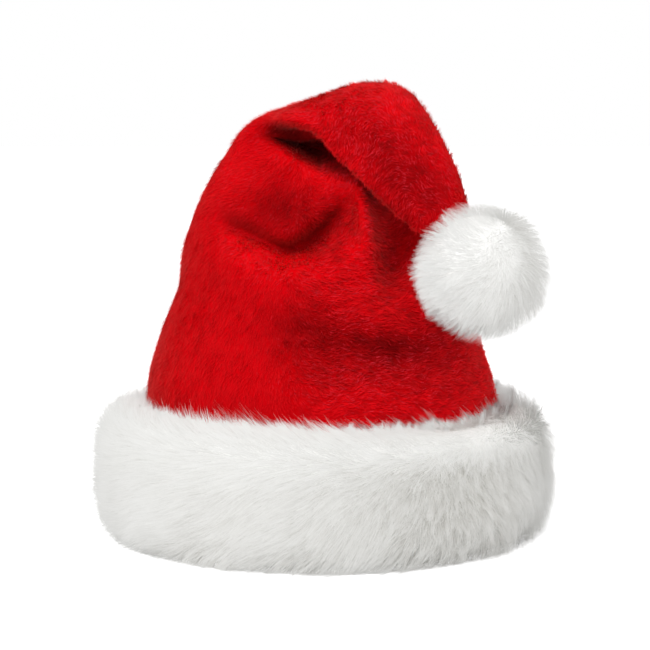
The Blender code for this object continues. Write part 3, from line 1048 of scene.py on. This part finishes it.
def make_fringe(fur):
    """Short fine hairs along the crest's inner edge, that stand over the foot of the crown."""
    rng = np.random.default_rng(FRINGE_SEED)
    spots = cuff_roots(FRINGE_STRANDS, rng, *FRINGE_STRETCH)
    roots = spots.places
    count = len(roots)
    lean = FRINGE_LEAN + FRINGE_LEAN_WANDER * soft_noise(roots, 0.005, 51)
    lean += rng.normal(0, FRINGE_LEAN_SCATTER, count)
    aside = np.cos(lean) * rear_turn(spots.degrees)
    combs = UP * np.sin(lean)[:, None] - spots.right * aside[:, None]
    lift = unit(UP + FRINGE_OUTWARD * unit(roots * np.array([1.0, 1.0, 0.0])))
    lengths = FRINGE_LENGTH * rng.uniform(*FRINGE_LENGTHS, count)
    lengths *= 1 + FRINGE_LENGTH_WANDER * soft_noise(roots, 0.008, 52)
    lengths *= 1 + REAR_LONGER * bell(spots.degrees, *REAR_STAND)
    rise_first, rise_last = (np.full(count, rise) for rise in FRINGE_RISE)
    lines = strand_lines(roots, lift, combs, lengths, FRINGE_STEPS, rise_first, rise_last, rng, FRINGE_CURL)
    lines = gather_locks(lines, rng.uniform(*FRINGE_PULL, count), np.full(count, FRINGE_SPACING), rng)
    width = FRINGE_WIDTH * rng.uniform(*FRINGE_WIDTHS, count)
    ribbons = ribbon_mesh("cuff_fringe", lines, lift, width, np.ones(count), 0.0, FUR_GLOW)
    soften(add_piece("cuff_fringe", ribbons, fur), False)


def make_cuff(skin_finish, fur):
    add_piece("cuff_skin", cuff_skin("cuff_skin"), skin_finish, "fur_cuff")
    for number in range(CUFF_PIECES):
        make_cuff_fur(number, fur)
    make_fringe(fur)


# Pompom

# How the pompom's fur is combed, seen from the front in shares of the pompom's radius: a place across
# and up from its middle, and the way that the tips point there.
POMPOM_COMB_TABLE = np.array(
    [
        (0.25, 0.96, -0.10, 0.70),
        (-0.15, 0.75, -0.85, 0.35),
        (-0.55, 0.70, -0.75, 0.60),
        (0.00, 0.45, -0.90, -0.25),
        (0.30, 0.40, -0.40, -0.95),
        (0.60, 0.50, 0.40, -0.90),
        (0.62, 0.76, 0.80, 0.10),
        (0.85, 0.25, 0.50, -0.90),
        (0.55, 0.10, 0.00, -1.00),
        (0.30, -0.10, -0.50, -0.90),
        (0.60, -0.40, -0.20, -1.00),
        (0.88, -0.35, 0.20, -1.00),
        (0.20, -0.65, -0.50, -0.90),
        (0.00, -0.30, -0.80, -0.55),
        (-0.30, 0.20, -1.00, -0.15),
        (-0.30, -0.20, -0.95, -0.30),
        (-0.30, -0.60, -0.80, -0.60),
        (-0.90, 0.10, -1.00, 0.05),
        (-0.70, -0.50, -0.90, -0.50),
    ]
)


def pompom_combs(normals):
    """The combing direction at each normal, and how near it is to a whorl, where directions part."""
    across, up, point_across, point_up = POMPOM_COMB_TABLE.T
    places = np.stack([across, -np.sqrt(np.clip(1 - across ** 2 - up ** 2, 0, 1)), up], 1)
    points = np.stack([point_across, np.zeros(len(across)), point_up], 1)
    gaps = np.linalg.norm(normals[:, None, :] - places[None], axis=2)
    shares = 1 / (gaps ** 3 + 0.01)
    combs = (points[None] * shares[:, :, None]).sum(axis=1) / shares.sum(axis=1)[:, None]
    behind = np.clip(normals[:, 1] + 0.2, 0, 1)[:, None]
    combs = combs * (1 - behind) + COMB_BEHIND * behind
    combs -= normals * (combs * normals).sum(axis=1, keepdims=True)
    return unit(combs), np.clip(1 - np.linalg.norm(combs, axis=1) / WHORL_EDGE, 0, 1)


def pompom_core(name):
    """A lumpy ball in the middle of the CAD pompom."""
    low, high = (np.array(corner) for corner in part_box("pompom"))
    core = bmesh.new()
    bmesh.ops.create_icosphere(core, subdivisions=4, radius=(high - low).max() / 2 * POMPOM_CORE_SHARE)
    mesh = bpy.data.meshes.new(name)
    core.to_mesh(mesh)
    core.free()
    places = vectors_of(mesh.vertices, "co")
    places *= (1 + POMPOM_LUMPS * soft_noise(places, 0.012, 31))[:, None]
    mesh.vertices.foreach_set("co", (places + (low + high) / 2).ravel())
    mesh.update()
    mesh.shade_smooth()
    return mesh


def make_pompom(skin_finish, fur):
    mesh = pompom_core("pompom_core")
    piece = add_piece("pompom_core", mesh, skin_finish, "pompom")
    rng = np.random.default_rng(POMPOM_SEED)
    roots, normals, _, _ = scatter(mesh, POMPOM_STRANDS, rng)
    count = len(roots)
    combs, whorl = pompom_combs(normals)
    swing = POMPOM_WANDER * soft_noise(roots, 0.012, 34) + whorl * rng.normal(*WHORL_SWING, count)
    combs = turned_by(combs, normals, swing)
    spiky = np.clip(0.50 + 1.4 * normals @ SPIKY_SIDE, 0, 1)
    tousle = np.clip(0.30 + normals @ TOUSLED_SIDE, 0, 1)
    rightward = np.clip(normals[:, 0], 0, 1)
    upward = np.clip(normals[:, 2], 0, 1)

    rise_first = POMPOM_RISE[0] + 0.10 * soft_noise(roots, 0.010, 32)
    rise_first += SPIKY_RISE[0] * spiky + RIGHT_RISE[0] * rightward + TOP_RISE * upward
    rise_last = POMPOM_RISE[1] + 0.12 * soft_noise(roots, 0.009, 33)
    rise_last += SPIKY_RISE[1] * spiky + RIGHT_RISE[1] * rightward
    rise_last = np.clip(rise_last, 0, POMPOM_TIP_RISE_LIMIT)
    tail_dent = np.exp(-((normals - unit(TAIL_SIDE)) ** 2).sum(axis=1) / TAIL_DENT_SIZE)
    lengths = POMPOM_LENGTH * rng.uniform(*POMPOM_LENGTHS, count)
    lengths *= (1 - SPIKY_SHORTER * spiky) * (1 - TAIL_SHORTER * tail_dent)
    lengths *= (1 + RIGHT_LONGER * rightward) * (1 - WHORL_SHORTER * whorl)
    lengths *= 1 + 0.2 * spiky * soft_noise(roots, 0.004, 35)
    lines = strand_lines(
        roots, normals, combs, lengths, POMPOM_STEPS, rise_first, rise_last, rng, POMPOM_CURL
    )
    pull = between(POMPOM_PULL, np.maximum(tousle, spiky)) + 0.08 * spiky
    lines = gather_locks(lines, pull, POMPOM_SPACING - SPIKY_CLOSER * spiky, rng)

    # Painted shade: tousled strands, more of them towards the right, get darker roots in the gaps between
    # their locks, in place of the shadows that the fur doesn't cast.
    shade = np.clip(1 - TOUSLE_PAINTED_SHADE * tousle + rng.normal(0, POMPOM_SHADE_SCATTER, count), 0, 1)
    width = FUR_WIDTH * rng.uniform(*FUR_WIDTHS, count)
    bend = POMPOM_BEND * tousle * (1 - spiky)
    ribbons = ribbon_mesh("pompom_fur", lines, normals, width, shade, bend, POMPOM_GLOW)
    soften(add_piece("pompom_fur", ribbons, fur), False)


# Studio

def ground(name, colour, glow):
    """A wide flat square at the floor's height."""
    half = FLOOR_HALF
    mesh = bpy.data.meshes.new(name)
    places = [(-half, -half, 0), (half, -half, 0), (half, half, 0), (-half, half, 0)]
    mesh.from_pydata(places, [], [(0, 1, 2, 3)])
    finish, _, _, shader = shader_of(name, 0.9, 0.1)
    shader.inputs["Base Color"].default_value = (colour, colour, colour, 1)
    shader.inputs["Emission Color"].default_value = (1, 1, 1, 1)
    shader.inputs["Emission Strength"].default_value = glow
    mesh.materials.append(finish)
    made = new_object(name, mesh)
    return made


def turn_to_hat(item):
    item.rotation_euler = (PHOTO_TARGET - item.location).to_track_quat("-Z", "Y").to_euler()


def make_camera():
    camera = new_object("camera", bpy.data.cameras.new("camera"))
    camera.data.lens = PHOTO_LENS
    angle = math.radians(PHOTO_ELEVATION)
    camera.location = PHOTO_TARGET + Vector((0, -math.cos(angle), math.sin(angle))) * PHOTO_DISTANCE
    turn_to_hat(camera)
    bpy.context.scene.camera = camera


def make_world():
    """A white backdrop for the camera, over soft light from all round."""
    world = bpy.data.worlds.new("studio")
    world.use_nodes = True
    nodes, links = world.node_tree.nodes, world.node_tree.links
    background = nodes["Background"]
    background.inputs["Strength"].default_value = AMBIENT
    white = nodes.new("ShaderNodeBackground")
    for shown in (background, white):
        shown.inputs["Color"].default_value = (1, 1, 1, 1)
    seen = nodes.new("ShaderNodeLightPath")
    mix = nodes.new("ShaderNodeMixShader")
    links.new(seen.outputs["Is Camera Ray"], mix.inputs["Fac"])
    links.new(background.outputs[0], mix.inputs[1])
    links.new(white.outputs[0], mix.inputs[2])
    links.new(mix.outputs[0], nodes["World Output"].inputs["Surface"])
    bpy.context.scene.world = world


def make_studio():
    make_camera()
    floor = ground("floor", 0.9, FLOOR_GLOW)
    floor.visible_diffuse = False
    floor.visible_glossy = False
    floor.visible_shadow = False
    bounce = ground("bounce_card", 0.7, 0.0)
    bounce.location.z = -CARD_DEPTH
    bounce.visible_camera = False
    make_world()
    for name, place, size, power, lights in LAMPS:
        lamp = bpy.data.lights.new(name, "AREA")
        lamp.size = size
        lamp.energy = power
        made = bpy.data.objects.new(name, lamp)
        made.location = place
        turn_to_hat(made)
        if lights:
            lit = bpy.data.collections.new(f"lit_by_{name}")
            for piece in bpy.context.scene.objects:
                if piece.name.startswith(lights):
                    lit.objects.link(piece)
            made.light_linking.receiver_collection = lit
        bpy.context.scene.collection.objects.link(made)
    bpy.context.scene.view_settings.view_transform = "Standard"


def corners(box):
    return [list(map(float, corner)) for corner in box]


def main():
    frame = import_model()
    skin_finish = fur_skin_material()
    fur = fur_material()
    make_crown(frame["nodes"]["crown"], plush_material(), pile_material())
    make_cuff(skin_finish, fur)
    make_pompom(skin_finish, fur)
    make_studio()


main()
